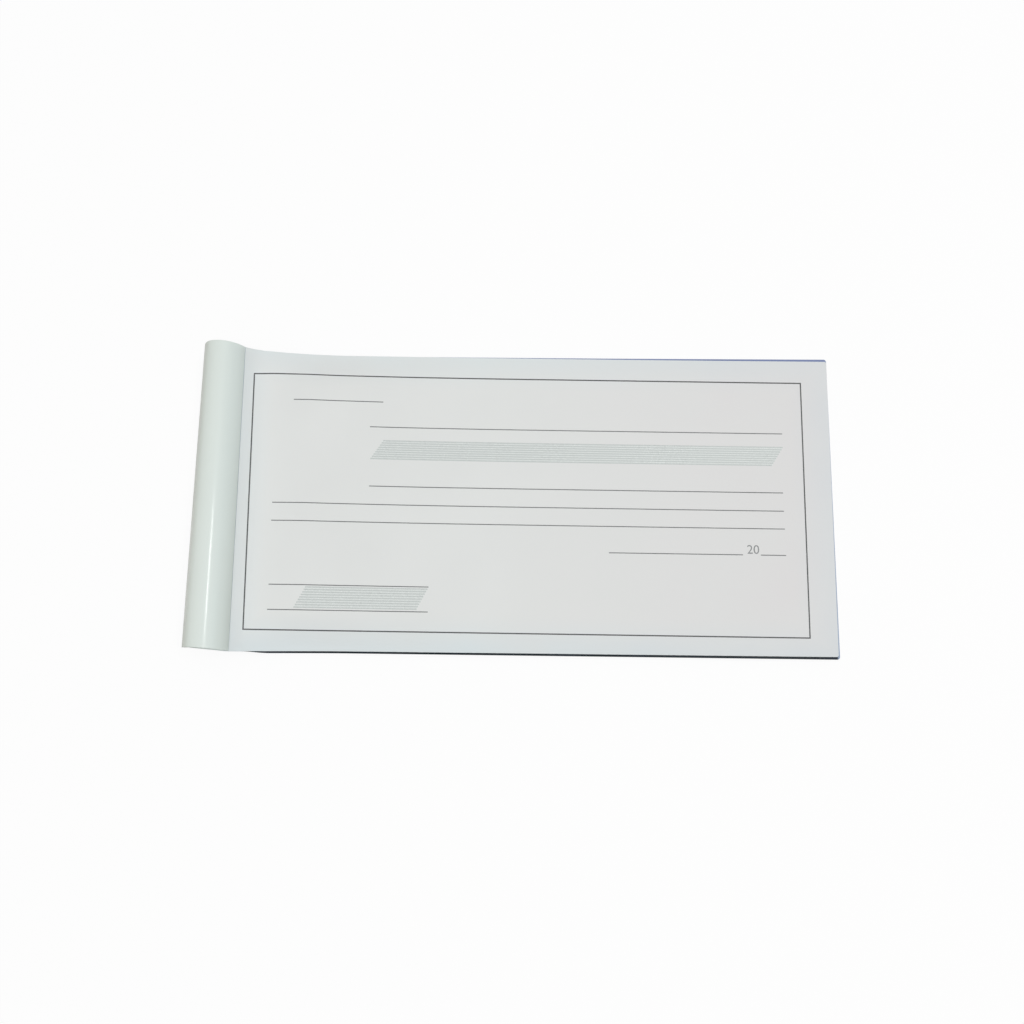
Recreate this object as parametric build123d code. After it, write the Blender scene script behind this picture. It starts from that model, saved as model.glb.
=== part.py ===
from build123d import *
import math
import os

# Duplicate receipt book, open at its first receipt, with the front cover folded back underneath.
# Millimetres. +X runs from the spine to the fore-edge, +Y to the far edge and +Z up from the table.

# Paper
sheet_width = 100.0        # near edge to far edge
leaf_length = 198.5        # perforation to fore-edge, along the paper
stub_length = 11.5         # bound margin behind the perforation
paper = 0.075              # thickness of one sheet
paper_gap = 0.010          # air between two sheets
sets = 25                  # an original and a duplicate in each

# Cover card
card = 0.28                # thickness
card_gap = 0.04            # air between the folded-back cover and the book
cover_length = 198.0       # front cover, hinge crease to fore-edge, along the card
crease_gap = 0.30          # between the leaf's bound edge and the cover's hinge crease
hinge_joint = 0.10         # scored line between the hinge strip and the bend

# Lift of the bound edge, held up inside the bend of the cover
crease_lift = 7.2          # crease above the flat page
foot_run = 6.7             # length of the tight curve beside the crease
crease_slope = 44.0        # degrees, page at the crease
foot_slope = 14.0          # degrees, where the tight curve passes into the long one

# Bend of the cover, an oval of four tangent arcs
roll_width = 14.0
roll_rise = 6.5            # top of the bend above the crease
roll_cap_radius = 5.8      # at the top and the bottom of the oval

# Perforation
perforation_gap = 0.20

# Carbon sheet
carbon = 0.04
carbon_gap = 0.02
carbon_inset = 5.0         # bound edge of the carbon, from the perforation
carbon_near = 0.8          # past the near edge of the page
carbon_far = 0.8           # past the far edge at the fore-edge end
carbon_fore = 0.4          # past the fore-edge at the near corner
carbon_far_start = -0.1    # along the curve the far edge stays inside the page

# Staples
staple_width = 0.70        # flat wire, along the book
staple_wire = 0.45         # its thickness
staple_crown = 12.0
staple_spacing = 52.0      # between the two staples
staple_bend = 0.4          # centre-line radius of the wire's corners
staple_clinch = 4.2        # length of each turned-in leg
staple_clearance = 0.12    # round the wire in its holes
staple_seat = 0.02         # between wire and card

# Heights and the two curves of the page
pitch = paper + paper_gap
inner_sheets = 2 * (sets - 1)
back_top = 2 * card + card_gap
carbon_depth = paper + carbon_gap
duplicate_depth = carbon_depth + carbon + carbon_gap
block_depth = duplicate_depth + paper + paper_gap
page_z = back_top + paper_gap + inner_sheets * pitch + block_depth
cover_depth = block_depth + inner_sheets * pitch
crease_z = page_z + crease_lift

steep = math.radians(crease_slope)
gentle = math.radians(foot_slope)
foot_radius = foot_run / (math.sin(steep) - math.sin(gentle))
foot_rise = foot_radius * (math.cos(gentle) - math.cos(steep))
rise_radius = (crease_lift - foot_rise) / (1 - math.cos(gentle))
curve_run = foot_run + rise_radius * math.sin(gentle)
curve_length = foot_radius * (steep - gentle) + rise_radius * gentle
fore_edge = curve_run + leaf_length - curve_length      # measured from the crease in plan

# Oval of the bend: half sizes, the two arc centres and the angle where the arcs meet
oval_a = roll_width / 2
oval_b = (crease_z + roll_rise) / 2
cap_centre = oval_b - roll_cap_radius
side_centre = (cap_centre**2 - (oval_a - roll_cap_radius) ** 2) / (2 * (oval_a - roll_cap_radius))
side_radius = oval_a + side_centre
joint_angle = math.degrees(math.atan2(cap_centre, side_centre))
crease_angle = math.degrees(math.asin((crease_z + paper_gap - oval_b) / (side_radius - card)))
crease_reach = side_radius * math.cos(math.radians(crease_angle)) - side_centre
roll_length = math.radians(joint_angle - crease_angle + 2 * joint_angle) * side_radius
roll_length += math.radians(180 - 2 * joint_angle + 90 - joint_angle) * roll_cap_radius

# Place of the crease, so that the whole book is centred over the origin
roll_x = -crease_gap - crease_reach
crease_x = -(roll_x - oval_a + fore_edge + carbon_fore) / 2


def page_curve(depth, bound_end):
    """Edges of the page's own curve at a depth under its face, from bound_end to the fore-edge."""
    foot = (curve_run - (rise_radius - foot_radius) * math.sin(gentle),
            page_z + rise_radius - (rise_radius - foot_radius) * math.cos(gentle))
    radius = foot_radius + depth
    stub_z = crease_z - depth
    bend_x = foot[0] - math.sqrt(radius**2 - (foot[1] - stub_z) ** 2)
    start_x = max(bound_end, bend_x)
    start_slope = math.degrees(math.asin((foot[0] - start_x) / radius))
    edges = []
    if bound_end < bend_x:
        edges.append(Line((bound_end, stub_z), (bend_x, stub_z)))
    edges.append(CenterArc(foot, radius, 270 - start_slope, start_slope - foot_slope))
    edges.append(CenterArc((curve_run, page_z + rise_radius), rise_radius + depth, 270 - foot_slope, foot_slope))
    edges.append(Line((curve_run, page_z - depth), (fore_edge, page_z - depth)))
    return edges


def between(upper, lower):
    """Face between two runs of edges that both go from the bound end to the fore-edge."""
    ends = [Line(upper[0] @ 0, lower[0] @ 0), Line(upper[-1] @ 1, lower[-1] @ 1)]
    return make_face(upper + lower + ends)


def across(face, width=sheet_width):
    """Solid of a side profile, carried across the book."""
    return Pos(crease_x, 0, 0) * extrude(Plane.XZ * face, amount=width / 2, both=True)


def sheet(depth, thickness, bound_end):
    return across(between(page_curve(depth, bound_end), page_curve(depth + thickness, bound_end)))


def stub(depth):
    length = stub_length - perforation_gap / 2
    middle = (-perforation_gap / 2 - length / 2, crease_z - depth - paper / 2)
    return across(Pos(*middle) * Rectangle(length, paper))


# Staple holes, cut through everything that the staples hold together
staple_x = crease_x - stub_length / 2
hole = (staple_width + 2 * staple_clearance, staple_wire + 2 * staple_clearance)
hole_top = crease_z + 2 * card
hole_height = cover_depth + 4 * card
staple_places = [Pos(staple_x, side * staple_spacing / 2, 0) for side in (-1, 1)]
leg_places = [Pos(0, side * staple_crown / 2, hole_top - hole_height / 2) for side in (-1, 1)]
holes = [place * leg * Box(*hole, hole_height) for place in staple_places for leg in leg_places]


def punched(piece):
    return piece - holes


def carbon_sheet():
    """Loose sheet on the page's own curve, cut a little out of square, larger than the page."""
    curve_top = page_curve(carbon_depth, carbon_inset)
    curve_bottom = page_curve(carbon_depth + carbon, carbon_inset)
    longer = [Line(edges[-1] @ 0, (edges[-1] @ 1) + (carbon_fore, 0)) for edges in (curve_top, curve_bottom)]
    profile = between(curve_top[:-1] + longer[:1], curve_bottom[:-1] + longer[1:])
    uncut = across(profile, sheet_width + 2 * max(carbon_near, carbon_far))
    near = -sheet_width / 2 - carbon_near
    far = sheet_width / 2
    right = crease_x + fore_edge
    outline = Polyline(
        (crease_x, near),
        (right + carbon_fore, near),
        (right, far + carbon_far),
        (crease_x + curve_run, far + carbon_far_start),
        (crease_x, far + carbon_far_start),
        close=True,
    )
    return uncut & extrude(make_face(outline), amount=crease_z + crease_lift)


def back_cover():
    """Back of the card, turned up round the spine and stapled down over the stub."""
    spine = -stub_length - paper_gap
    under = page_curve(cover_depth, spine)
    outside = page_curve(cover_depth + card, spine - card)
    strip_end = roll_x + crease_reach - card - hinge_joint
    strip_low = crease_z + paper_gap
    strip_top = strip_low + card
    turn_up = Polyline(
        under[0] @ 0,
        (spine, strip_low),
        (strip_end, strip_low),
        (strip_end, strip_top),
        (spine - card, strip_top),
        outside[0] @ 0,
    )
    fore = Line(under[-1] @ 1, outside[-1] @ 1)
    return punched(across(make_face(under + outside + turn_up.edges() + [fore])))


def roll_arcs(inset):
    """Arcs of the bend at a depth inside its outer face, from the hinge crease to the bottom of the oval."""
    side = side_radius - inset
    cap = roll_cap_radius - inset
    right_centre = (roll_x - side_centre, oval_b)
    left_centre = (roll_x + side_centre, oval_b)
    top_centre = (roll_x, oval_b + cap_centre)
    bottom_centre = (roll_x, oval_b - cap_centre)
    return [
        CenterArc(right_centre, side, crease_angle, joint_angle - crease_angle),
        CenterArc(top_centre, cap, joint_angle, 180 - 2 * joint_angle),
        CenterArc(left_centre, side, 180 - joint_angle, 2 * joint_angle),
        CenterArc(bottom_centre, cap, 180 + joint_angle, 90 - joint_angle),
    ]


def cover_roll():
    return across(between(roll_arcs(0), roll_arcs(card)))


def front_cover_panel():
    length = cover_length - roll_length
    return across(Pos(roll_x + hinge_joint + length / 2, card / 2) * Rectangle(length, card))


def staples():
    """Two flat-wire staples: crown on the hinge strip, legs through the stub, ends turned in below."""
    crown_z = crease_z + paper_gap + card + staple_seat + staple_wire / 2
    clinch_z = crease_z - cover_depth - card - staple_seat - staple_wire / 2
    reach = staple_crown / 2
    line = FilletPolyline(
        (0, -reach + staple_clinch, clinch_z),
        (0, -reach, clinch_z),
        (0, -reach, crown_z),
        (0, reach, crown_z),
        (0, reach, clinch_z),
        (0, reach - staple_clinch, clinch_z),
        radius=staple_bend,
    )
    section = Plane(line @ 0, x_dir=(1, 0, 0), z_dir=line % 0) * Rectangle(staple_width, staple_wire)
    wire = sweep(section, path=line)
    return Compound(children=[place * wire for place in staple_places])


nodes = {
    "front_cover_panel": front_cover_panel(),
    "cover_roll": cover_roll(),
    "back_cover": back_cover(),
    "staples": staples(),
    "carbon_sheet": carbon_sheet(),
}
for name, depth in (("original", 0.0), ("duplicate", duplicate_depth)):
    nodes[f"{name}_01_leaf"] = sheet(depth, paper, perforation_gap / 2)
    nodes[f"{name}_01_stub"] = punched(stub(depth))
for number in range(2, sets + 1):
    set_depth = block_depth + 2 * (number - 2) * pitch
    nodes[f"original_{number:02d}"] = punched(sheet(set_depth, paper, -stub_length))
    nodes[f"duplicate_{number:02d}"] = punched(sheet(set_depth + pitch, paper, -stub_length))

os.makedirs("parts", exist_ok=True)
for name, solid in nodes.items():
    export_step(solid, f"parts/{name}.step")

print(f"page {page_z:.3f} mm above the table, crease at x {crease_x:.3f}, z {crease_z:.3f}")
print(f"bend: centre x {crease_x + roll_x:.3f}, z {oval_b:.3f}, height {2 * oval_b:.3f}, card in it {roll_length:.2f}")
print(f"fore-edge at x {crease_x + fore_edge:.3f}, duplicate leaf {duplicate_depth:.3f} under the page")
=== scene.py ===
import math
import bmesh
import bpy
from mathutils import Matrix, Vector


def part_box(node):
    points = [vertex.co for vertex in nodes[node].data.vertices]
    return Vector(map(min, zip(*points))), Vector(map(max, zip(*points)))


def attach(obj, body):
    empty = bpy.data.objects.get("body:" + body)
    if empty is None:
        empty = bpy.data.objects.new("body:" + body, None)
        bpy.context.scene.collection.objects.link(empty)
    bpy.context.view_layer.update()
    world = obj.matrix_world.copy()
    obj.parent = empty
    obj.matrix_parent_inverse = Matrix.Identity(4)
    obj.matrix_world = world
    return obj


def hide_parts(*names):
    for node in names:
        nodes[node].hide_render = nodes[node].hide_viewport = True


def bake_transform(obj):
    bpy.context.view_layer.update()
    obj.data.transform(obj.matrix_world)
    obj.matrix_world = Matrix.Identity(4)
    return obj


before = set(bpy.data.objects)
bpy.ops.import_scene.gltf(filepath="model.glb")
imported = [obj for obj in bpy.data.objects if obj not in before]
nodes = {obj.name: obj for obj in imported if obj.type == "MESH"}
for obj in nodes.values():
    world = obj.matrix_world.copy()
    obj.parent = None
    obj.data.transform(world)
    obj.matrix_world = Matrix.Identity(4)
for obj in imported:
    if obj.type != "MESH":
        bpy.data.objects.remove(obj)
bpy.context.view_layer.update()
mm = 0.001
print("frame loaded,", len(nodes), "nodes")


# Helpers for materials
def newMaterial(name, **values):
    made = bpy.data.materials.new(name)
    made.use_nodes = True
    tree = made.node_tree
    shader = tree.nodes["Principled BSDF"]
    for socket, value in values.items():
        shader.inputs[socket.replace("_", " ")].default_value = value
    return made, tree, shader


def addNode(tree, kind, links=(), **values):
    node = tree.nodes.new(kind)
    for name, value in values.items():
        setattr(node, name, value)
    for socket, source in links:
        if hasattr(source, "is_output"):
            tree.links.new(source, node.inputs[socket])
        else:
            node.inputs[socket].default_value = source
    return node


def placeAxes(tree):
    # a point's X and Y in the frame's own metres
    where = addNode(tree, "ShaderNodeTexCoord")
    axes = addNode(tree, "ShaderNodeSeparateXYZ", [("Vector", where.outputs["Object"])])
    return axes.outputs["X"], axes.outputs["Y"]


def grain(tree, scale, detail=3.0, stretch=(1, 1, 1)):
    # noise in the frame's own metres, so every piece shows it at one scale
    where = addNode(tree, "ShaderNodeTexCoord")
    size = addNode(tree, "ShaderNodeMapping", [("Vector", where.outputs["Object"]), ("Scale", stretch)])
    links = [("Vector", size.outputs["Vector"]), ("Scale", scale), ("Detail", detail)]
    return addNode(tree, "ShaderNodeTexNoise", links).outputs["Fac"]


def combine(tree, operation, first, second):
    return addNode(tree, "ShaderNodeMath", [(0, first), (1, second)], operation=operation).outputs[0]


def between(tree, share, first, second, way="MIX"):
    # a colour is a tuple or comes from another node
    first, second = ((*c, 1) if isinstance(c, tuple) else c for c in (first, second))
    links = [(0, share), (6, first), (7, second)]
    return addNode(tree, "ShaderNodeMix", links, data_type="RGBA", blend_type=way).outputs[2]


def darken(tree, body, share, shade):
    return between(tree, share, body, shade, "MULTIPLY")


def spread(tree, source, low, high, toLow=0.0, toHigh=1.0):
    links = [(0, source), (1, low), (2, high), (3, toLow), (4, toHigh)]
    return addNode(tree, "ShaderNodeMapRange", links).outputs[0]


def bump(tree, shader, height, depth, strength):
    node = addNode(tree, "ShaderNodeBump", [("Height", height), ("Strength", strength), ("Distance", depth)])
    tree.links.new(node.outputs["Normal"], shader.inputs["Normal"])


# Paper. A pair of places says where a tone begins and where it is full
paperLook = {
    "white": (0.726, 0.741, 0.729),
    "whiteRim": (0.684, 0.736, 0.742),      # cooler towards the edges of a sheet
    "rimSides": (38 * mm, 50 * mm),         # to both sides of the middle line
    "rimBound": (-82 * mm, -91 * mm), "rimFore": (92 * mm, 106 * mm),
    "whiteNearShaded": (0.653, 0.716, 0.731),     # and cooler still along the near edge, and darker there with painted shade
    "rimNear": (-36 * mm, -48 * mm),
    "foreShade": (0.940, 0.905, 0.920),     # painted shade, darker towards the fore-edge
    "foreShadePlace": (-10 * mm, 106 * mm),
    "blue": (0.520, 0.660, 0.760),
    "roughness": 0.88, "specular": 0.30,
    "cloud": 40.0, "cloudRange": (0.3, 0.7), "cloudShade": 0.956, "cloudMost": 0.5,
    "fibre": 2400.0, "fibreDetail": 5.0, "fibreStretch": (1.0, 0.4, 1.0),
    "fibreDepth": 0.012 * mm, "fibreStrength": 0.5,
}


def paperMaterial(name, colour, rim, nearRim):
    look = paperLook
    made, tree, shader = newMaterial(name, Roughness=look["roughness"], Specular_IOR_Level=look["specular"])
    x, y = placeAxes(tree)
    fromMiddle = addNode(tree, "ShaderNodeMath", [(0, y)], operation="ABSOLUTE").outputs[0]
    edge = spread(tree, fromMiddle, *look["rimSides"])
    for key in ("rimBound", "rimFore"):
        edge = combine(tree, "MAXIMUM", edge, spread(tree, x, *look[key]))
    # the near rim is cooler, and darker with painted shade
    nearSide = spread(tree, y, *look["rimNear"])
    body = between(tree, edge, colour, between(tree, nearSide, rim, nearRim))
    # painted shade, darker towards the fore-edge
    body = darken(tree, body, spread(tree, x, *look["foreShadePlace"]), look["foreShade"])
    cloud = spread(tree, grain(tree, look["cloud"]), *look["cloudRange"], 0.0, look["cloudMost"])
    shade = tuple(c * look["cloudShade"] for c in colour)
    tree.links.new(between(tree, cloud, body, shade), shader.inputs["Base Color"])
    fibre = grain(tree, look["fibre"], look["fibreDetail"], look["fibreStretch"])
    bump(tree, shader, fibre, look["fibreDepth"], look["fibreStrength"])
    return made


# Cover card
cardLook = {
    "mint": (0.712, 0.783, 0.754),
    "warm": (0.708, 0.758, 0.705),          # over the top of the bend
    "warmPlace": (-94 * mm, -104 * mm),
    "turned": (0.825, 0.800, 0.765),        # painted shade on its outer side, which turns away from the light
    "outerShadePlace": (-101.2 * mm, -105.7 * mm),
    "creaseShade": (0.915, 0.910, 0.895),       # painted shade beside the hinge crease, towards the near end
    "creaseShadeAcross": (-94.5 * mm, -91.2 * mm), "creaseShadeAlong": (30 * mm, -35 * mm),
    "worn": (0.960, 0.960, 0.960),          # streaks along the bend
    "streak": 90.0, "streakDetail": 4.0, "streakStretch": (1.0, 0.08, 1.0), "streakRange": (0.3, 0.7),
    "specular": 0.18,
    "coat": 0.37, "coatRoughness": 0.145,
    "coatFar": 0.08, "coatFarEnd": (0 * mm, -13 * mm),          # weaker towards both ends, which fades the lamp's highlight there
    "coatNear": 0.10, "coatNearEnd": (-47.5 * mm, -36 * mm),
    "gloss": (0.32, 0.42), "glossGrain": 420.0, "glossDetail": 2.0, "glossRange": (0.25, 0.75),
    "tooth": 700.0, "toothDetail": 2.0, "toothStretch": (1.0, 0.5, 1.0),
    "toothDepth": 0.006 * mm, "toothStrength": 0.4,
}


def cardMaterial(name):
    look = cardLook
    made, tree, shader = newMaterial(
        name, Specular_IOR_Level=look["specular"], Coat_Roughness=look["coatRoughness"])
    x, y = placeAxes(tree)
    # painted shade on the outer side of the bend
    outerShade = spread(tree, x, *look["outerShadePlace"])
    # painted shade beside the hinge crease
    creaseShade = combine(
        tree, "MULTIPLY", spread(tree, x, *look["creaseShadeAcross"]), spread(tree, y, *look["creaseShadeAlong"]))
    streaks = grain(tree, look["streak"], look["streakDetail"], look["streakStretch"])
    body = between(tree, spread(tree, x, *look["warmPlace"]), look["mint"], look["warm"])
    body = darken(tree, body, outerShade, look["turned"])
    body = darken(tree, body, creaseShade, look["creaseShade"])
    body = darken(tree, body, spread(tree, streaks, *look["streakRange"]), look["worn"])
    tree.links.new(body, shader.inputs["Base Color"])
    # gloss weaker towards both ends, so the lamp's highlight fades there
    farEnd, nearEnd = (spread(tree, y, *look[key + "End"], look[key], look["coat"])
                       for key in ("coatFar", "coatNear"))
    tree.links.new(combine(tree, "MINIMUM", farEnd, nearEnd), shader.inputs["Coat Weight"])
    gloss = grain(tree, look["glossGrain"], look["glossDetail"])
    tree.links.new(spread(tree, gloss, *look["glossRange"], *look["gloss"]), shader.inputs["Roughness"])
    tooth = grain(tree, look["tooth"], look["toothDetail"], look["toothStretch"])
    bump(tree, shader, tooth, look["toothDepth"], look["toothStrength"])
    return made


# Printing inks
inkLook = {
    "colours": {
        "dark": (0.072, 0.075, 0.076), "rule": (0.125, 0.132, 0.132), "tint": (0.46, 0.49, 0.48),
        "wash": (0.585, 0.615, 0.600), "pale": (0.21, 0.22, 0.22),
    },
    "roughness": 0.62, "specular": 0.35,
    "dry": 5200.0, "dryDetail": 2.0, "dryRange": (0.35, 0.75),      # thin places in the ink
    "thin": 1.35, "thinLift": 0.02,
}


def inkMaterial(name, colour):
    look = inkLook
    made, tree, shader = newMaterial(name, Roughness=look["roughness"], Specular_IOR_Level=look["specular"])
    dry = spread(tree, grain(tree, look["dry"], look["dryDetail"]), *look["dryRange"])
    thin = tuple(c * look["thin"] + look["thinLift"] for c in colour)
    tree.links.new(between(tree, dry, colour, thin), shader.inputs["Base Color"])
    return made


# Carbon sheet's wax
carbonLook = {
    # almost black along the near edge, where it carries painted shadow
    "near": (0.010, 0.016, 0.020),
    "far": (0.190, 0.235, 0.400), "farPlace": (30 * mm, 49 * mm),           # paler towards the far edge, a painted sheen
    "edge": (0.310, 0.380, 0.500), "edgePlace": (104.9 * mm, 105.3 * mm),   # paler at the fore-edge, a painted sheen
    "smeared": (0.10, 0.12, 0.20), "smear": 150.0, "smearDetail": 5.0, "smearStretch": (0.5, 1.0, 1.0),
    "smearRange": (0.45, 0.8), "smearMost": 0.18,
    "specular": 0.12, "roughness": (0.42, 0.65),
}


def carbonMaterial(name):
    look = carbonLook
    made, tree, shader = newMaterial(name, Specular_IOR_Level=look["specular"])
    x, y = placeAxes(tree)
    # painted shadow at the near edge, painted sheen towards the far edge and the fore-edge
    wax = between(tree, spread(tree, y, *look["farPlace"]), look["near"], look["far"])
    wax = between(tree, spread(tree, x, *look["edgePlace"]), wax, look["edge"])
    marks = grain(tree, look["smear"], look["smearDetail"], look["smearStretch"])
    smear = spread(tree, marks, *look["smearRange"], 0.0, look["smearMost"])
    tree.links.new(between(tree, smear, wax, look["smeared"]), shader.inputs["Base Color"])
    roughness = spread(tree, smear, 0.0, look["smearMost"], *look["roughness"])
    tree.links.new(roughness, shader.inputs["Roughness"])
    return made


# Staple wire
steelLook = {
    "colour": (0.62, 0.62, 0.63), "roughness": (0.28, 0.45),
    "drawn": 900.0, "drawnDetail": 2.0, "drawnStretch": (1.0, 0.1, 1.0), "drawnRange": (0.3, 0.7),
}


def steelMaterial(name):
    look = steelLook
    made, tree, shader = newMaterial(name, Metallic=1.0, Base_Color=(*look["colour"], 1))
    drawn = grain(tree, look["drawn"], look["drawnDetail"], look["drawnStretch"])
    tree.links.new(spread(tree, drawn, *look["drawnRange"], *look["roughness"]), shader.inputs["Roughness"])
    return made


whitePaper = paperMaterial("white_paper", *(paperLook[key] for key in ("white", "whiteRim", "whiteNearShaded")))
bluePaper = paperMaterial("pale_blue_paper", paperLook["blue"], paperLook["blue"], paperLook["blue"])
glossCard = cardMaterial("gloss_card")
waxCarbon = carbonMaterial("wax_carbon")
stapleSteel = steelMaterial("staple_steel")
inks = [inkMaterial("ink_" + key, colour) for key, colour in inkLook["colours"].items()]
inkSlots = {key: number for number, key in enumerate(inkLook["colours"])}
print("materials made")


# Page form: flat from the fore-edge, then two arcs that rise to the crease
pageForm = {
    "paper": 0.075 * mm,
    "footRun": 6.7 * mm,           # tight curve beside the crease, in plan
    "creaseSlope": 44.0,           # degrees
    "footSlope": 14.0,             # degrees, where the long curve takes over
    "corner": 0.7 * mm,            # rounding of the two free corners
    "trim": 0.75 * mm,             # near edge cut out of square, furthest out at the crease
    "recess": 0.25 * mm,           # and drawn in again at the spine, inside the bend
    "drawnIn": 0.28 * mm, "drawnRun": 40 * mm,          # near edge of the flat page
    "bow": 0.27 * mm,              # far edge, hollow along its middle
    "startFar": 0.15 * mm, "startNear": 1.15 * mm,      # bound edge of the leaves runs a little askew
    "startFade": 12 * mm,
    "foldFrom": 1.3 * mm, "foldTo": 3.4 * mm,           # where the top leaf bends when it is turned
    "puff": 2.9 * mm,              # how far the loose top leaf stands off the block
    "puffFrom": 5 * mm, "puffPeak": 24 * mm, "puffLength": 30 * mm,
    "puffTo": 190 * mm, "puffEase": 0.3, "puffRim": 13 * mm,
}
leafLow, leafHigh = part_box("original_01_leaf")
stubLow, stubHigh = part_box("original_01_stub")
creaseX = (stubHigh.x + leafLow.x) / 2
creaseZ = stubHigh.z
pageZ = leafLow.z + pageForm["paper"]
halfWidth = leafHigh.y
steep = math.radians(pageForm["creaseSlope"])
gentle = math.radians(pageForm["footSlope"])
footRadius = pageForm["footRun"] / (math.sin(steep) - math.sin(gentle))
footRise = footRadius * (math.cos(gentle) - math.cos(steep))
riseRadius = (creaseZ - pageZ - footRise) / (1 - math.cos(gentle))
curveRun = pageForm["footRun"] + riseRadius * math.sin(gentle)
footX = curveRun - (riseRadius - footRadius) * math.sin(gentle)         # centre of the tight curve
footZ = riseRadius - (riseRadius - footRadius) * math.cos(gentle)
footLength = footRadius * (steep - gentle)
curveLength = footLength + riseRadius * gentle
leafStart = leafLow.x - creaseX
leafLength = leafHigh.x - creaseX - curveRun + curveLength
stubLength = creaseX - stubLow.x


def pageCurve(run):
    # point of the page's face at a distance along the paper from the crease, and its slope there
    if run < footLength:
        slope = steep - run / footRadius
        x, z = footX - footRadius * math.sin(slope), footZ - footRadius * math.cos(slope)
    elif run < curveLength:
        slope = gentle - (run - footLength) / riseRadius
        x, z = curveRun - riseRadius * math.sin(slope), riseRadius * (1 - math.cos(slope))
    else:
        slope, x, z = 0.0, curveRun + run - curveLength, 0.0
    return creaseX + x, pageZ + z, slope


def smoothStep(t):
    t = min(max(t, 0.0), 1.0)
    return t * t * (3 - 2 * t)


def unStep(share):
    # inverse of smoothStep
    return 0.5 - math.sin(math.asin(1 - 2 * min(max(share, 0.0), 1.0)) / 3)


def puff(run, y):
    up = smoothStep((run - pageForm["puffFrom"]) / (pageForm["puffPeak"] - pageForm["puffFrom"]))
    past = max(run - pageForm["puffPeak"], 0.0) / pageForm["puffLength"]
    fade = smoothStep((pageForm["puffTo"] - run) / (pageForm["puffEase"] * pageForm["puffTo"]))
    rim = smoothStep((halfWidth - abs(y)) / pageForm["puffRim"])
    return pageForm["puff"] * up * fade / (1 + past * past) * rim


def nearTrim(run):
    # how far the near edge lies outside its square place
    if run < 0:
        return pageForm["trim"] + (pageForm["trim"] + pageForm["recess"]) * run / stubLength
    drawn = pageForm["drawnIn"] * smoothStep(run / pageForm["drawnRun"])
    return pageForm["trim"] * (1 - run / leafLength) - drawn


def farBow(run):
    return pageForm["bow"] * math.sin(math.pi * min(max(run / leafLength, 0.0), 1.0))


def toNear(y):
    # 0 at the far edge and 1 at the near one
    return (halfWidth - y) / (2 * halfWidth)


def askew(y):
    return pageForm["startFar"] + (pageForm["startNear"] - pageForm["startFar"]) * toNear(y)


def sheetSpot(depth, loose=False):
    # gives places on a sheet that lies at a depth under the page's face
    def spot(run, y, above):
        x, z, slope = pageCurve(run)
        above += (puff(run, y) if loose else 0.0) - depth
        return Vector((x + math.sin(slope) * above, y, z + math.cos(slope) * above))
    return spot


# Lines of the sheets' meshes: first place and step, in mm, and how many there are
grid = {
    "along": [(0, 0.2, 20), (4, 0.4, 10), (8, 0.8, 40), (40, 2, 31), (106, 6, 16)],     # from the crease
    "rim": (0, 0.5, 28), "middle": (16, 4, 18),         # across, from the edges and from the near edge
    "cornerAngles": (20, 40, 60, 78, 90),
    "closest": 0.01 * mm,          # places nearer to each other than this are one
}


def spaced(first, step, count):
    return [(first + i * step) * mm for i in range(count)]


runMarks = [mark for row in grid["along"] for mark in spaced(*row)]
rimMarks, middleMarks = spaced(*grid["rim"]), spaced(*grid["middle"])
yMarks = [-halfWidth + m for m in rimMarks + middleMarks] + [halfWidth - m for m in reversed(rimMarks)]


def stations(first, last, marks):
    return [first] + [m for m in marks if first + grid["closest"] < m < last - grid["closest"]] + [last]


def cornerRuns(end, corner):
    return [end - corner * (1 - math.sin(math.radians(angle))) for angle in grid["cornerAngles"]]


def addSlab(bm, spot, rows, low, high, slot=0):
    # closed slab over a grid of places on a sheet, between two heights above it
    top = [[bm.verts.new(spot(*place, high)) for place in row] for row in rows]
    base = [[bm.verts.new(spot(*place, low)) for place in row] for row in rows]
    faces = []
    last, edge = len(rows) - 1, len(rows[0]) - 1
    for i in range(last):
        for j in range(edge):
            faces.append((top[i][j], top[i + 1][j], top[i + 1][j + 1], top[i][j + 1]))
            faces.append((base[i][j], base[i][j + 1], base[i + 1][j + 1], base[i + 1][j]))
    smooth = len(faces)
    for i in range(last):
        faces.append((base[i][0], base[i + 1][0], top[i + 1][0], top[i][0]))
        faces.append((base[i + 1][edge], base[i][edge], top[i][edge], top[i + 1][edge]))
    for j in range(edge):
        faces.append((base[0][j + 1], base[0][j], top[0][j], top[0][j + 1]))
        faces.append((base[last][j], base[last][j + 1], top[last][j + 1], top[last][j]))
    for number, corners in enumerate(faces):
        face = bm.faces.new(corners)
        face.smooth = number < smooth
        face.material_index = slot
        if number >= smooth:
            for e in face.edges:
                e.smooth = False


def asObject(bm, name, *materials):
    mesh = bpy.data.meshes.new(name)
    bm.to_mesh(mesh)
    bm.free()
    for material in materials:
        mesh.materials.append(material)
    made = bpy.data.objects.new(name, mesh)
    bpy.context.scene.collection.objects.link(made)
    return made


def leafRows(start, end, corner):
    # rows of places across a leaf, drawn in round its two free corners
    rows = []
    for run in stations(start, end - corner, runMarks) + cornerRuns(end, corner):
        into = max(run - (end - corner), 0.0)
        half = halfWidth - corner + math.sqrt(max(corner**2 - into**2, 0.0))
        fade = 1 - smoothStep(run / pageForm["startFade"])
        row = []
        for y in yMarks:
            wide = half + (nearTrim(run) if y < 0 else -farBow(run))
            row.append((run + askew(y) * fade, y * wide / halfWidth))
        rows.append(row)
    return rows


def leafPiece(name, node, rows, depth, material, loose=False):
    bm = bmesh.new()
    addSlab(bm, sheetSpot(depth, loose), rows, -pageForm["paper"], 0.0)
    made = asObject(bm, name, material)
    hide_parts(node)
    return made


duplicateDepth = leafLow.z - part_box("duplicate_01_leaf")[0].z
leafGrid = leafRows(leafStart, leafLength, pageForm["corner"])
topDuplicate = leafPiece(
    "top_duplicate", "duplicate_01_leaf", leafGrid, duplicateDepth, bluePaper)
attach(topDuplicate, "duplicate_leaf")
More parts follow.
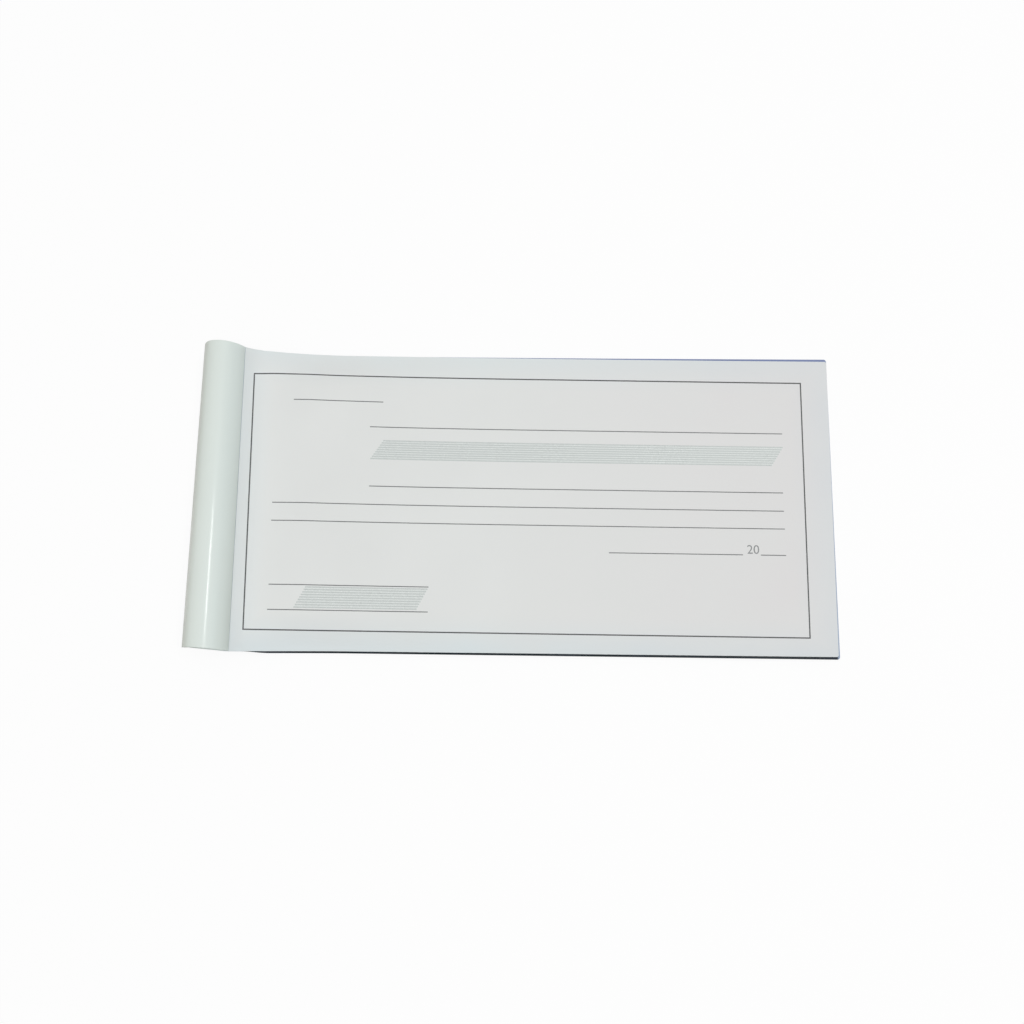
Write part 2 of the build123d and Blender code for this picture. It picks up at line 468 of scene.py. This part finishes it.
# the top leaf's bound edge stays at the crease when it is turned; a strip beside it is made as a piece of
# its own
foldRow = next(i for i, row in enumerate(leafGrid) if min(run for run, y in row) > pageForm["foldTo"])
topFold = leafPiece(
    "top_original_fold", "original_01_leaf", leafGrid[:foldRow + 1], 0.0, whitePaper, True)
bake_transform(topFold)
topOriginal = leafPiece(
    "top_original", "original_01_leaf", leafGrid[foldRow:], 0.0, whitePaper, True)
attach(topOriginal, "original_leaf")
print("leaves made, length along the paper", round(leafLength / mm, 2))

# Carbon sheet, cut a little out of square and larger than the page
carbonCut = {
    "inset": 5.0 * mm, "thickness": 0.04 * mm,
    # the dark sliver past the near edge is partly the carbon's edge and partly painted shadow under the page
    "near": 0.62 * mm, "nearFore": 0.85 * mm,       # past the near edge, along the page and at the fore-edge
    "nearFrom": 4 * mm, "nearFull": 14 * mm,        # grows out from under it
    "farStart": -0.1 * mm, "far": 0.8 * mm, "fore": 0.4 * mm, "corner": 0.9 * mm,
    "across": (0.25, 0.5, 0.75),                    # lines of the mesh, as shares of the page's width
}


def carbonPiece():
    cut = carbonCut
    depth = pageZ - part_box("carbon_sheet")[0].z - cut["thickness"]
    corner = cut["corner"] / leafLength
    shares = stations(0.0, 1.0 - corner, [m / leafLength for m in runMarks]) + cornerRuns(1.0, corner)
    middles = [halfWidth * (2 * share - 1) for share in cut["across"]]
    rows = []
    for share in shares:
        run = cut["inset"] + share * (leafLength - cut["inset"])
        past = cut["near"] + (cut["nearFore"] - cut["near"]) * share
        past *= smoothStep((run - cut["nearFrom"]) / (cut["nearFull"] - cut["nearFrom"]))
        into = max(share - 1.0 + corner, 0.0) / corner
        rounding = cut["corner"] * (1 - math.sqrt(max(1 - into * into, 0.0)))
        near = -halfWidth - nearTrim(run) - past + rounding
        skew = max(run - curveLength, 0.0) / (leafLength - curveLength)
        far = halfWidth + cut["farStart"] + (cut["far"] - cut["farStart"]) * skew - farBow(run) - rounding
        ys = [near] + middles + [far]
        rows.append([(run + cut["fore"] * (far - y) / (far - near) * share, y) for y in ys])
    bm = bmesh.new()
    addSlab(bm, sheetSpot(depth), rows, -cut["thickness"], 0.0)
    made = asObject(bm, "carbon", waxCarbon)
    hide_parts("carbon_sheet")
    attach(made, "carbon")


carbonPiece()
print("carbon made")

# Printed form, in mm: s is measured from the fore-edge and y from the near edge
form = {
    "border": {
        "leftFar": 194.72, "leftNear": 193.2, "right": 9.1, "near": 6.25, "far": 92.2, "width": 0.43,
        "drop": 0.75, "dropRun": 9.0,       # far line sinks a little at its left end
    },
    "ruleWidth": 0.30,
    "rules": [      # y, left end and right end
        (83.1, 181.2, 150.9), (74.4, 155.0, 15.9), (54.13, 154.5, 16.3),
        (47.95, 186.4, 16.2), (41.95, 186.4, 16.1), (33.15, 74.5, 30.2),
        (33.15, 24.3, 16.0), (20.9, 186.0, 133.8), (12.75, 186.0, 133.8),
    ],
    "bandLines": 9, "bandWidth": 0.45,
    "bands": [
        {"far": 69.7, "near": 63.5, "farEnds": (150.4, 15.8), "nearEnds": (154.5, 19.7)},
        {"far": 20.2, "near": 13.6, "farEnds": (174.0, 134.1), "nearEnds": (177.5, 137.5)},
    ],
    "washSteps": 120,
    "digitSize": 4.2,
    "digits": [("20", 28.9, 33.55)],
    "rise": 0.012, "riseDuplicate": 0.010, "riseNext": 0.006,       # height of the ink on each sheet
    "lineFoot": 0.2, "washFoot": 0.1, "washTop": 0.5,       # where an ink begins and ends, as shares of it
}


def digitMesh(text, size, thickness):
    curve = bpy.data.curves.new("digits", "FONT")
    curve.body, curve.size, curve.extrude = text, size, thickness / 2
    source = bpy.data.objects.new("digits", curve)
    mesh = bpy.data.meshes.new_from_object(source)
    bpy.data.objects.remove(source)
    return mesh


def printForm(name, body, spot, rise):
    bm = bmesh.new()
    foot = form["lineFoot"] * rise

    def along(y, first, last, width, ink, drop=0.0):
        runs = stations(leafLength - first * mm, leafLength - last * mm, runMarks)
        rows = []
        for run in runs:
            level = max(1 - (run - runs[0]) / (form["border"]["dropRun"] * mm), 0.0)
            middle = -halfWidth + (y - drop * level * level) * mm
            rows.append([(run, middle - width / 2 * mm), (run, middle + width / 2 * mm)])
        addSlab(bm, spot, rows, foot, rise, inkSlots[ink])

    def crossing(sNear, sFar, near, far, width, ink):
        ys = stations(-halfWidth + near * mm, -halfWidth + far * mm, yMarks)
        middles = [sNear + (sFar - sNear) * (y - ys[0]) / (ys[-1] - ys[0]) for y in ys]
        rows = [[(leafLength - (s - side) * mm, y) for s, y in zip(middles, ys)]
                for side in (-width / 2, width / 2)]
        addSlab(bm, spot, rows, foot, rise, inkSlots[ink])

    def wash(band):
        # pale tint under a band of lines, between its two slanting ends
        over = form["bandWidth"] / 2
        nearY = -halfWidth + (band["near"] - over) * mm
        farY = -halfWidth + (band["far"] + over) * mm
        nearRuns, farRuns = ([leafLength - s * mm for s in band[key]] for key in ("nearEnds", "farEnds"))
        ys = stations(nearY, farY, yMarks)
        rows = []
        for step in range(form["washSteps"] + 1):
            row = []
            for y in ys:
                up = (y - nearY) / (farY - nearY)
                first, last = (a + (b - a) * up for a, b in zip(nearRuns, farRuns))
                row.append((first + (last - first) * step / form["washSteps"], y))
            rows.append(row)
        addSlab(bm, spot, rows, form["washFoot"] * rise, form["washTop"] * rise, inkSlots["wash"])

    def bandOfLines(band):
        for number in range(form["bandLines"]):
            share = number / (form["bandLines"] - 1)
            y = band["far"] + share * (band["near"] - band["far"])
            first, last = (a + share * (b - a) for a, b in zip(band["farEnds"], band["nearEnds"]))
            along(y, first, last, form["bandWidth"], "tint")

    def digits(text, s, y):
        mesh = digitMesh(text, form["digitSize"] * mm, rise - foot)
        for v in mesh.vertices:
            run, across = leafLength - s * mm + v.co.x, -halfWidth + y * mm + v.co.y
            v.co = spot(run, across, (rise + foot) / 2 + v.co.z)
        for polygon in mesh.polygons:
            polygon.material_index = inkSlots["pale"]
        bm.from_mesh(mesh)
        bpy.data.meshes.remove(mesh)

    edge = form["border"]
    half = edge["width"] / 2
    along(edge["near"], edge["leftNear"] + half, edge["right"] - half, edge["width"], "dark")
    along(edge["far"], edge["leftFar"] + half, edge["right"] - half, edge["width"], "dark", edge["drop"])
    left, right = (edge["leftNear"], edge["leftFar"], edge["drop"]), (edge["right"], edge["right"], 0.0)
    for sNear, sFar, drop in (left, right):
        crossing(sNear, sFar, edge["near"] + half, edge["far"] - drop - half, edge["width"], "dark")
    for y, first, last in form["rules"]:
        along(y, first, last, form["ruleWidth"], "rule")
    for band in form["bands"]:
        wash(band)
        bandOfLines(band)
    for text, s, y in form["digits"]:
        digits(text, s, y)
    made = asObject(bm, name, *inks)
    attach(made, body)


nextDepth = leafLow.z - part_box("original_02")[0].z
printForm("form_on_original", "original_leaf", sheetSpot(0.0, True), form["rise"] * mm)
printForm("form_on_duplicate", "duplicate_leaf", sheetSpot(duplicateDepth), form["riseDuplicate"] * mm)
printForm("form_on_next_original", "book", sheetSpot(nextDepth), form["riseNext"] * mm)
print("forms printed")

# Cover bend: an oval of four tangent arcs, from the hinge crease over the spine to the table
bend = {
    "width": 14.0 * mm, "capRadius": 5.8 * mm, "card": 0.28 * mm,
    "bedNear": 0.05 * mm, "bedFar": 0.14 * mm,          # room beside the bound edge of the top leaf
    "bedShare": 0.24,              # share of the bend that comes down to it
    "step": 1.0,                   # degrees of arc between two lines of the mesh
    "across": 40,                  # steps of the mesh from the near end to the far end
    "taper": 0.025,                # wider at the near end, narrower at the far end
    "level": 0.5 * mm,             # under this height it meets the panel, and has no taper
    "slant": 1.2 * mm, "slantShare": 0.36,              # near end drawn back over the top
    "slantBack": 0.25 * mm, "slantBackShare": 0.2,      # and a little less at the outer side
    "foot": 270.0,                 # degrees round the oval's centre, where it lies on the table
    "still": 92.0,                 # degrees, up to where the bend stays with the book
    "pieces": 4,                   # pieces after that, one after another round the bend
}
rollLow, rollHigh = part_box("cover_roll")
panelLow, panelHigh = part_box("front_cover_panel")
bendX, bendZ = rollLow.x + bend["width"] / 2, rollHigh.z / 2


def bendProfile():
    # places along the bend and their outward directions
    ovalA, ovalB, cap = bend["width"] / 2, bendZ, bend["capRadius"]
    capCentre = ovalB - cap
    sideCentre = (capCentre**2 - (ovalA - cap) ** 2) / (2 * (ovalA - cap))
    sideRadius = ovalA + sideCentre
    joint = math.degrees(math.atan2(capCentre, sideCentre))
    hinge = math.degrees(math.acos((rollHigh.x - bendX + sideCentre) / sideRadius))
    arcs = [
        ((bendX - sideCentre, ovalB), sideRadius, hinge, joint),
        ((bendX, ovalB + capCentre), cap, joint, 180 - joint),
        ((bendX + sideCentre, ovalB), sideRadius, 180 - joint, 180 + joint),
        ((bendX, ovalB - capCentre), cap, 180 + joint, bend["foot"]),
    ]
    profile = []
    for (x, z), radius, first, last in arcs:
        count = max(2, round((last - first) / bend["step"] * radius / cap))
        for i in range(count + (last == bend["foot"])):
            angle = math.radians(first + (last - first) * i / count)
            out = Vector((math.cos(angle), 0, math.sin(angle)))
            profile.append((Vector((x, 0, z)) + out * radius, out))
    profile.append((Vector((panelLow.x, 0, 0)), Vector((0, 0, -1))))
    return profile


def bendSpot(profile):
    # gives places on the card of the bend, by number along the profile
    hinge = profile[0][0]

    def spot(number, y, above):
        point, out = profile[number]
        share = number / (len(profile) - 1)
        taper = 1 - bend["taper"] * y / halfWidth
        wide = taper if point.z > bend["level"] else 1
        x, z = bendX + (point.x + out.x * above - bendX) * wide, point.z + out.z * above
        # the hinge end comes down beside the bound edge of the top leaf
        hold = 1 - smoothStep(share / bend["bedShare"])
        leafX, leafZ, _ = pageCurve(leafStart + askew(y))
        room = bend["bedFar"] + (bend["bedNear"] - bend["bedFar"]) * toNear(y)
        x += hold * (leafX - room - (bendX + (hinge.x - bendX) * taper))
        z += hold * (leafZ + bend["bedNear"] - hinge.z)
        overTop = math.sin(min(share / bend["slantShare"], 1.0) * math.pi / 2)
        drawn = bend["slant"] * overTop - pageForm["trim"]
        drawn -= bend["slantBack"] * smoothStep((share - bend["slantShare"]) / bend["slantBackShare"])
        return Vector((x, y + drawn * toNear(y), z))
    return spot


def bendPieces():
    profile = bendProfile()
    spot = bendSpot(profile)
    end = len(profile) - 1
    first, last = bend["still"], bend["foot"]
    ys = [-halfWidth + 2 * halfWidth * i / bend["across"] for i in range(bend["across"] + 1)]

    def turned(number):
        point = profile[number][0]
        return math.degrees(math.atan2(point.z - bendZ, point.x - bendX)) % 360

    def swingShare(number):
        # share of the swing at a place, through the inverse of the smooth step
        return 1.0 if number == end else unStep((turned(number) - first) / (last - first))

    goals = [first + (last - first) * piece / bend["pieces"] for piece in range(bend["pieces"])]
    cuts = [0] + [min(range(end - 1), key=lambda n: abs(turned(n) - goal)) for goal in goals] + [end]
    for piece, (a, b) in enumerate(zip(cuts[:-1], cuts[1:])):
        bm = bmesh.new()
        rows = [[(number, y) for y in ys] for number in range(a, b + 1)]
        addSlab(bm, spot, rows, -bend["card"], 0.0)
        bmesh.ops.recalc_face_normals(bm, faces=bm.faces[:])
        part = asObject(bm, f"cover_bend_{piece + 1}", glossCard)
        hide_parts("cover_roll")
        if piece == 0:
            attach(part, "book")
            continue
        shareA, shareB = swingShare(a), swingShare(b)
        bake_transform(part)


bendPieces()
print("cover bend made")

# Inner sheets and their bound margins: the page's curve at each depth, with edges that don't quite line up
block = {
    "footSteps": 22, "riseSteps": 32, "flatSteps": 12,      # lines of the mesh along each stretch
    "stray": 0.10 * mm, "strayEnd": 0.14 * mm,              # most that a long edge and a fore-edge stray
    "strayFactors": (12.9898, 78.233, 43758.5453),          # of a sine that serves as a hash
}


def stray(number, seed):
    # repeatable share between -1 and 1
    byNumber, bySeed, byAll = block["strayFactors"]
    value = math.sin(number * byNumber + seed * bySeed) * byAll
    return 2 * (value - math.floor(value)) - 1


def sheetLine(depth, start):
    # points of a sheet's face in its side view, from the bound end to the fore-edge
    radius, stubZ = footRadius + depth, creaseZ - pageZ - depth
    first = math.acos((footZ - stubZ) / radius)
    line = [(start, stubZ)]
    arcs = (
        (footX, footZ, radius, first, gentle, block["footSteps"]),
        (curveRun, riseRadius, riseRadius + depth, gentle, 0.0, block["riseSteps"]),
    )
    for x, z, arc, a, b, count in arcs:
        for i in range(count):
            slope = a + (b - a) * i / count
            line.append((x - arc * math.sin(slope), z - arc * math.cos(slope)))
    flat = leafHigh.x - creaseX - curveRun
    line += [(curveRun + flat * i / block["flatSteps"], -depth) for i in range(block["flatSteps"] + 1)]
    return [(creaseX + x, pageZ + z) for x, z in line]


def innerSheet(name, number, material):
    paper = pageForm["paper"]
    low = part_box(name)[0]
    depth = leafLow.z - low.z
    face, back = (sheetLine(depth + under, low.x - creaseX) for under in (0.0, paper))
    strayNear, strayFar, strayFore = (stray(number, seed) for seed in (1, 2, 3))
    rows = []
    for index, (x, _) in enumerate(face):
        near = -halfWidth - nearTrim(x - creaseX) + block["stray"] * strayNear
        far = halfWidth - farBow(x - creaseX) + block["stray"] * strayFar
        rows.append([(index, near), (index, far)])

    def spot(index, y, above):
        x, z = face[index] if above == 0 else back[index]
        longer = block["strayEnd"] * strayFore if index == len(face) - 1 else 0.0
        return Vector((x + longer, y, z))

    bm = bmesh.new()
    addSlab(bm, spot, rows, -paper, 0.0)
    made = asObject(bm, "sheet_" + name, material)
    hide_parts(name)
    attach(made, "book")


sheetCount = 0
for name in sorted(nodes):
    kind, _, rest = name.partition("_")
    if kind in ("original", "duplicate") and rest.isdigit():
        sheetCount += 1
        innerSheet(name, sheetCount, whitePaper if kind == "original" else bluePaper)
print(sheetCount, "inner sheets made")


# Cards and bound margins of the top set
def frontTrim(run):
    # front card: from the near end of the bend to the page's near edge
    start, end = panelLow.x - creaseX, panelHigh.x - creaseX
    drawn = pageForm["trim"] - bend["slant"] + bend["slantBack"]
    return drawn + (nearTrim(end) - drawn) * (run - start) / (end - start)


def trimmedCopy(name, node, material, body, trim=nearTrim):
    # the solid's own mesh, with its near edge cut as the sheets are
    mesh = nodes[node].data.copy()
    for v in mesh.vertices:
        if v.co.y < -halfWidth + grid["closest"]:
            v.co.y -= trim(min(v.co.x - creaseX, leafLength))
    mesh.materials.clear()
    mesh.materials.append(material)
    made = bpy.data.objects.new(name, mesh)
    bpy.context.scene.collection.objects.link(made)
    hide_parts(node)
    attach(made, body)


trimmedCopy("back_card", "back_cover", glossCard, "book")
trimmedCopy("front_card", "front_cover_panel", glossCard, "front_cover", frontTrim)
trimmedCopy("top_original_margin", "original_01_stub", whitePaper, "book")
trimmedCopy("top_duplicate_margin", "duplicate_01_stub", bluePaper, "book")
nodes["staples"].data.materials.clear()
nodes["staples"].data.materials.append(stapleSteel)
print("cards, margins and staples finished")

# Floor, light and camera
stage = {
    "floorSize": 3.0, "floorLevel": -0.02 * mm, "floorColour": (0.80, 0.80, 0.80), "shownWhite": 0.92,
    "skyLow": 0.22, "skyHigh": 2.535, "skyPower": 7.0,      # brightest overhead
}


def shownShare(tree):
    # 1 where the camera sees a surface, straight, mirrored or through something
    path = addNode(tree, "ShaderNodeLightPath")
    share = path.outputs["Is Camera Ray"]
    for ray in ("Is Glossy Ray", "Is Transmission Ray"):
        share = combine(tree, "MAXIMUM", share, path.outputs[ray])
    return share


def makeFloor():
    bm = bmesh.new()
    half, level = stage["floorSize"] / 2, stage["floorLevel"]
    corners = ((-1, -1), (1, -1), (1, 1), (-1, 1))
    bm.faces.new([bm.verts.new((x * half, y * half, level)) for x, y in corners])
    made = bpy.data.materials.new("floor")
    made.use_nodes = True
    tree = made.node_tree
    tree.nodes.clear()
    matt = addNode(tree, "ShaderNodeBsdfDiffuse", [("Color", (*stage["floorColour"], 1))])
    white = addNode(tree, "ShaderNodeEmission", [("Color", (1, 1, 1, 1)), ("Strength", 1.0)])
    share = spread(tree, shownShare(tree), 0.0, 1.0, 0.0, stage["shownWhite"])
    mix = addNode(tree, "ShaderNodeMixShader", [(0, share), (1, matt.outputs[0]), (2, white.outputs[0])])
    addNode(tree, "ShaderNodeOutputMaterial", [("Surface", mix.outputs[0])])
    asObject(bm, "floor", made)


def makeSky():
    world = bpy.data.worlds.new("sky")
    bpy.context.scene.world = world
    world.use_nodes = True
    tree = world.node_tree
    tree.nodes.clear()
    way = addNode(tree, "ShaderNodeTexCoord").outputs["Generated"]
    up = spread(tree, addNode(tree, "ShaderNodeSeparateXYZ", [("Vector", way)]).outputs["Z"], 0.0, 1.0)
    zenith = combine(tree, "POWER", up, stage["skyPower"])
    level = spread(tree, zenith, 0.0, 1.0, stage["skyLow"], stage["skyHigh"])
    light, white = (addNode(tree, "ShaderNodeBackground", [("Color", (1, 1, 1, 1)), ("Strength", strength)])
                    for strength in (level, 1.0))
    links = [(0, shownShare(tree)), (1, light.outputs[0]), (2, white.outputs[0])]
    mix = addNode(tree, "ShaderNodeMixShader", links)
    addNode(tree, "ShaderNodeOutputWorld", [("Surface", mix.outputs[0])])


lamp = {"place": (0.42, 0.01, 1.06), "size": (0.14, 0.36), "power": 3.8}     # gives the thin line of gloss


def makeLamp():
    data = bpy.data.lights.new("side_lamp", "AREA")
    data.shape, data.energy = "RECTANGLE", lamp["power"]
    data.size, data.size_y = lamp["size"]
    made = bpy.data.objects.new("side_lamp", data)
    bpy.context.scene.collection.objects.link(made)
    way = Vector(lamp["place"]).normalized()
    side = Vector((0, 1, 0)).cross(way).normalized()
    made.location = lamp["place"]
    made.rotation_euler = Matrix((side, way.cross(side), way)).transposed().to_euler()


shot = {
    "place": (0.21 * mm, -47.44 * mm, 285.04 * mm),
    "elevation": 81.105, "yaw": 2.157, "roll": -1.30,       # degrees
    "focalPixels": 850.0, "pictureWidth": 1024, "sensor": 36.0, "clip": (0.01, 10.0),
}


def makeCamera():
    elevation, yaw, roll = (math.radians(shot[key]) for key in ("elevation", "yaw", "roll"))
    level = math.cos(elevation)
    back = Vector((math.sin(yaw) * level, -math.cos(yaw) * level, math.sin(elevation)))
    right = Vector((math.cos(yaw), math.sin(yaw), 0))
    up = back.cross(right)
    turnedRight = right * math.cos(roll) + up * math.sin(roll)
    turnedUp = up * math.cos(roll) - right * math.sin(roll)
    data = bpy.data.cameras.new("camera")
    data.sensor_width = shot["sensor"]
    data.lens = shot["sensor"] * shot["focalPixels"] / shot["pictureWidth"]
    data.clip_start, data.clip_end = shot["clip"]
    made = bpy.data.objects.new("camera", data)
    turn = Matrix((turnedRight, turnedUp, back)).transposed().to_4x4()
    made.matrix_world = Matrix.Translation(shot["place"]) @ turn
    bpy.context.scene.collection.objects.link(made)
    bpy.context.scene.camera = made


makeFloor()
makeSky()
makeLamp()
makeCamera()
bpy.context.scene.view_settings.view_transform = "Standard"
print("stage set")
